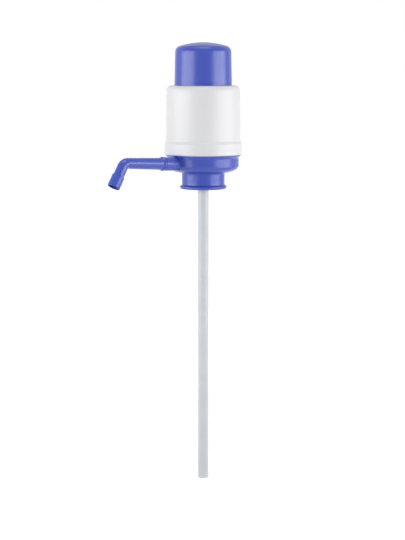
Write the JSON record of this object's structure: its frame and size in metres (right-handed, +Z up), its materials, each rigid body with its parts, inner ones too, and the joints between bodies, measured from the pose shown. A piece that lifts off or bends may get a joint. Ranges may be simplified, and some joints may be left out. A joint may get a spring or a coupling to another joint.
{
  "type": "water jug hand pump",
  "caption": "Hand pump for a large water container: press cap with bellows and return spring, housing, base with neck socket, bent swivelling spout and jointed dip tube.",
  "frame": {"origin": "centre of the neck's rim seat: on the pump's axis, on the underside of the rim gasket", "axes": "+Z up along the pump's axis, from the dip tube to the press cap; the spout leaves between -X and -Y, 42 degrees from -X"},
  "size_m": [0.1778, 0.1663, 0.6017],
  "materials": {
    "blue_plastic": "moulded polypropylene, satin gloss, periwinkle blue",
    "white_plastic": "moulded ABS, satin gloss, white",
    "milky_plastic": "extruded polypropylene, milky and translucent",
    "silicone": "moulded silicone, translucent grey",
    "black_rubber": "moulded rubber, black",
    "stainless_steel": "drawn stainless wire and screws"
  },
  "bodies": {
    "pump_body": {"base": "blue_plastic", "rim_gasket": "silicone", "outlet_valve_cage": "milky_plastic", "tube_seal": "black_rubber", "dip_tube_upper": "milky_plastic", "dip_tube_middle": "milky_plastic", "dip_tube_lower": "milky_plastic", "chamber_seal": "black_rubber", "chamber_plate": "white_plastic", "bellows_clamp_ring": "white_plastic", "clamp_screws": "stainless_steel", "bellows": "black_rubber", "return_spring": "stainless_steel", "housing": "white_plastic"},
    "cap": {"press_cap": "blue_plastic", "bellows_plate": "white_plastic", "cap_screws": "stainless_steel", "intake_valve_cage": "milky_plastic"},
    "intake_valve": {"intake_valve_disc": "silicone"},
    "outlet_valve": {"outlet_valve_ring": "silicone"},
    "spout": {"spout_pipe": "blue_plastic", "spout_o_ring": "black_rubber", "spout_nozzle": "blue_plastic"}
  },
  "joints": [
    {"name": "press", "type": "slide", "parent": "pump_body", "child": "cap", "axis": [0, 0, -1], "range_m": [0, 0.04], "stiffness_N_per_m": 700, "springref_m": -0.01, "deforming": ["bellows", "return_spring"]},
    {"name": "spout_swivel", "type": "hinge", "parent": "pump_body", "child": "spout", "pos_m": [-0.04571, -0.04116, 0.01782], "axis": [-0.7421, -0.6682, 0.0523], "continuous": true},
    {"name": "intake_valve_lift", "type": "slide", "parent": "cap", "child": "intake_valve", "axis": [0, 0, 1], "range_m": [0, 0.001]},
    {"name": "outlet_valve_lift", "type": "slide", "parent": "pump_body", "child": "outlet_valve", "axis": [0, 0, 1], "range_m": [0, 0.001]}
  ]
}
